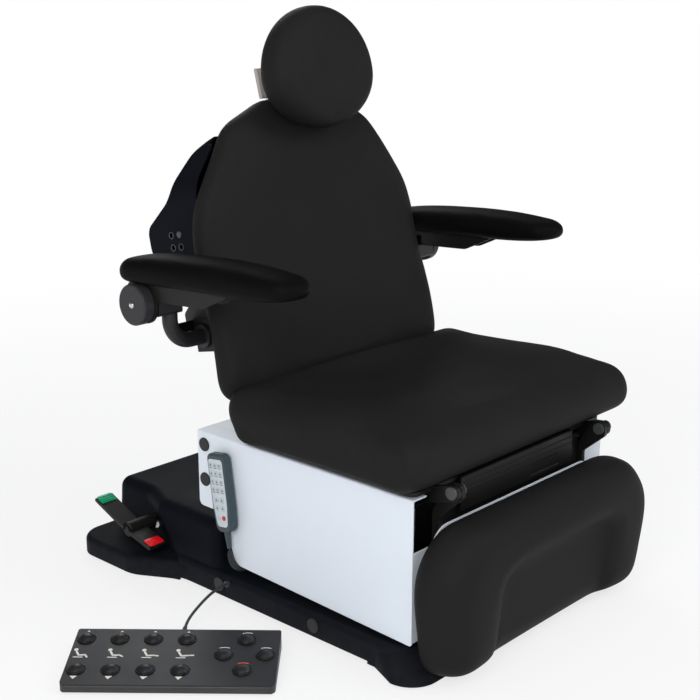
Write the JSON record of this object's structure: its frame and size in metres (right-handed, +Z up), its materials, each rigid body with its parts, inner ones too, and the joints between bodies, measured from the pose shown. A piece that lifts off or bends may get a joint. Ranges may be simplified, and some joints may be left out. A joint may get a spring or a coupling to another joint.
{
  "type": "procedure chair",
  "caption": "Power procedure chair on a castor base: lifting column, padded seat, reclining back, swing-up arms, adjustable headrest, rising leg rest, hand and foot controls.",
  "frame": {"origin": "on the floor, on the lift column's upright axis, midway between left and right", "axes": "+X to the sitter's left, -Y to the chair's front, +Z up"},
  "size_m": [1.2586, 1.068, 1.2217],
  "materials": {
    "vinyl": "soft matte black vinyl with a fine grain",
    "white_enamel": "cool white powder coat, satin",
    "black_moulding": "black moulded plastic, lightly textured",
    "black_enamel": "black powder coat, satin",
    "steel": "turned and zinc plated steel",
    "column_metal": "extruded aluminium, natural anodised",
    "tread": "grey-black castor tread",
    "plug": "black plastic cap",
    "hand_case": "slate grey moulded plastic, fine texture",
    "cord": "dark grey cord jacket",
    "foot_case": "black textured powder coat",
    "button": "black moulded rubber",
    "grip": "warm light grey plastic"
  },
  "bodies": {
    "base": {"base_cover": "black_moulding", "base_frame": "black_enamel", "skirt_plugs": "plug", "column_outer": "column_metal", "foot_control_case": "foot_case", "cord_boots": "cord", "foot_cord": "cord"},
    "brake": {"brake_shaft": "steel", "brake_pedal": "black_enamel"},
    "column_mid": {"column_middle": "column_metal"},
    "carriage": {"column_inner": "column_metal", "carriage_frame": "black_enamel", "side_panel_right": "white_enamel", "side_panel_left": "white_enamel", "rear_panel": "white_enamel", "panel_plugs": "plug", "handset": "hand_case", "handset_cord": "cord"},
    "seat": {"seat_frame": "black_enamel", "seat_cushion": "vinyl", "hinge_pins": "steel"},
    "leg": {"leg_frame": "black_enamel", "leg_plate": "white_enamel", "leg_cushion": "vinyl"},
    "back": {"back_frame": "black_enamel", "back_shell": "black_moulding", "back_cushion": "vinyl", "arm_tube_right": "black_enamel", "arm_tube_left": "black_enamel"},
    "head_post": {"headrest_post": "steel"},
    "head_link": {"headrest_link": "steel"},
    "head": {"headrest_plate": "black_enamel", "headrest_pad": "vinyl"},
    "head_lever": {"headrest_lever": "grip"},
    "arm_right": {"arm_channel_right": "black_enamel", "arm_hub_right": "black_moulding", "arm_pad_right": "vinyl"},
    "arm_left": {"arm_channel_left": "black_enamel", "arm_hub_left": "black_moulding", "arm_pad_left": "vinyl"},
    "fork_front_right": {"castor_fork_front_right": "steel"},
    "wheel_front_right": {"castor_wheel_front_right": "tread"},
    "fork_front_left": {"castor_fork_front_left": "steel"},
    "wheel_front_left": {"castor_wheel_front_left": "tread"},
    "fork_rear_right": {"castor_fork_rear_right": "steel"},
    "wheel_rear_right": {"castor_wheel_rear_right": "tread"},
    "fork_rear_left": {"castor_fork_rear_left": "steel"},
    "wheel_rear_left": {"castor_wheel_rear_left": "tread"},
    "press_01": {"foot_button_01": "button"},
    "press_02": {"foot_button_02": "button"},
    "press_03": {"foot_button_03": "button"},
    "press_04": {"foot_button_04": "button"},
    "press_05": {"foot_button_05": "button"},
    "press_06": {"foot_button_06": "button"},
    "press_07": {"foot_button_07": "button"},
    "press_08": {"foot_button_08": "button"},
    "press_09": {"foot_button_09": "button"},
    "press_10": {"foot_button_10": "button"},
    "press_11": {"foot_button_11": "button"},
    "press_12": {"foot_button_12": "button"}
  },
  "joints": [
    {"name": "column_extend", "type": "slide", "parent": "base", "child": "column_mid", "axis": [0, 0, 1], "range_m": [0, 0.215]},
    {"name": "lift", "type": "slide", "parent": "column_mid", "child": "carriage", "axis": [0, 0, 1], "range_m": [0, 0.215]},
    {"name": "seat_tilt", "type": "hinge", "parent": "carriage", "child": "seat", "pos_m": [0, 0.198, 0.346], "axis": [-1, 0, 0], "range_deg": [0, 15]},
    {"name": "back_recline", "type": "hinge", "parent": "seat", "child": "back", "pos_m": [0, 0.225, 0.418], "axis": [-1, 0, 0], "range_deg": [0, 74]},
    {"name": "leg_raise", "type": "hinge", "parent": "seat", "child": "leg", "pos_m": [0, -0.341, 0.368], "axis": [-1, 0, 0], "range_deg": [0, 90]},
    {"name": "headrest_height", "type": "slide", "parent": "back", "child": "head_post", "axis": [0, 0.2079, 0.9781], "range_m": [0, 0.08]},
    {"name": "headrest_reach", "type": "hinge", "parent": "head_post", "child": "head_link", "pos_m": [0, 0.37704, 1.08087], "axis": [-1, 0, 0], "range_deg": [0, 40]},
    {"name": "headrest_tilt", "type": "hinge", "parent": "head_link", "child": "head", "pos_m": [0, 0.31935, 1.08391], "axis": [-1, 0, 0], "range_deg": [0, 35]},
    {"name": "headrest_release", "type": "hinge", "parent": "head_post", "child": "head_lever", "pos_m": [0, 0.37704, 1.08087], "axis": [1, 0, 0], "range_deg": [0, 25], "stiffness_Nm_per_rad": 0.6},
    {"name": "brake_rock", "type": "hinge", "parent": "base", "child": "brake", "pos_m": [0, 0.488, 0.09], "axis": [-1, 0, 0], "range_deg": [0, 36]},
    {"name": "arm_right_swing", "type": "hinge", "parent": "back", "child": "arm_right", "pos_m": [-0.406, 0.316, 0.649], "axis": [-1, 0, 0], "range_deg": [0, 90]},
    {"name": "arm_left_swing", "type": "hinge", "parent": "back", "child": "arm_left", "pos_m": [0.406, 0.316, 0.649], "axis": [-1, 0, 0], "range_deg": [0, 90]},
    {"name": "swivel_front_right", "type": "hinge", "parent": "base", "child": "fork_front_right", "pos_m": [-0.23, -0.238, 0.064], "axis": [0, 0, 1], "continuous": true},
    {"name": "roll_front_right", "type": "hinge", "parent": "fork_front_right", "child": "wheel_front_right", "pos_m": [-0.23, -0.218, 0.03], "axis": [1, 0, 0], "continuous": true},
    {"name": "swivel_front_left", "type": "hinge", "parent": "base", "child": "fork_front_left", "pos_m": [0.23, -0.238, 0.064], "axis": [0, 0, 1], "continuous": true},
    {"name": "roll_front_left", "type": "hinge", "parent": "fork_front_left", "child": "wheel_front_left", "pos_m": [0.23, -0.218, 0.03], "axis": [1, 0, 0], "continuous": true},
    {"name": "swivel_rear_right", "type": "hinge", "parent": "base", "child": "fork_rear_right", "pos_m": [-0.23, 0.525, 0.064], "axis": [0, 0, 1], "continuous": true},
    {"name": "roll_rear_right", "type": "hinge", "parent": "fork_rear_right", "child": "wheel_rear_right", "pos_m": [-0.23, 0.545, 0.03], "axis": [1, 0, 0], "continuous": true},
    {"name": "swivel_rear_left", "type": "hinge", "parent": "base", "child": "fork_rear_left", "pos_m": [0.23, 0.525, 0.064], "axis": [0, 0, 1], "continuous": true},
    {"name": "roll_rear_left", "type": "hinge", "parent": "fork_rear_left", "child": "wheel_rear_left", "pos_m": [0.23, 0.545, 0.03], "axis": [1, 0, 0], "continuous": true},
    {"name": "press_01", "type": "slide", "parent": "base", "child": "press_01", "axis": [0, 0, -1], "range_m": [0, 0.003], "stiffness_N_per_m": 700},
    {"name": "press_02", "type": "slide", "parent": "base", "child": "press_02", "axis": [0, 0, -1], "range_m": [0, 0.003], "stiffness_N_per_m": 700},
    {"name": "press_03", "type": "slide", "parent": "base", "child": "press_03", "axis": [0, 0, -1], "range_m": [0, 0.003], "stiffness_N_per_m": 700},
    {"name": "press_04", "type": "slide", "parent": "base", "child": "press_04", "axis": [0, 0, -1], "range_m": [0, 0.003], "stiffness_N_per_m": 700},
    {"name": "press_05", "type": "slide", "parent": "base", "child": "press_05", "axis": [0, 0, -1], "range_m": [0, 0.003], "stiffness_N_per_m": 700},
    {"name": "press_06", "type": "slide", "parent": "base", "child": "press_06", "axis": [0, 0, -1], "range_m": [0, 0.003], "stiffness_N_per_m": 700},
    {"name": "press_07", "type": "slide", "parent": "base", "child": "press_07", "axis": [0, 0, -1], "range_m": [0, 0.003], "stiffness_N_per_m": 700},
    {"name": "press_08", "type": "slide", "parent": "base", "child": "press_08", "axis": [0, 0, -1], "range_m": [0, 0.003], "stiffness_N_per_m": 700},
    {"name": "press_09", "type": "slide", "parent": "base", "child": "press_09", "axis": [0, 0, -1], "range_m": [0, 0.003], "stiffness_N_per_m": 700},
    {"name": "press_10", "type": "slide", "parent": "base", "child": "press_10", "axis": [0, 0, -1], "range_m": [0, 0.003], "stiffness_N_per_m": 700},
    {"name": "press_11", "type": "slide", "parent": "base", "child": "press_11", "axis": [0, 0, -1], "range_m": [0, 0.003], "stiffness_N_per_m": 700},
    {"name": "press_12", "type": "slide", "parent": "base", "child": "press_12", "axis": [0, 0, -1], "range_m": [0, 0.003], "stiffness_N_per_m": 700}
  ],
  "couplings": [
    {"joint": "column_extend", "follows": "lift", "ratio": 1}
  ]
}
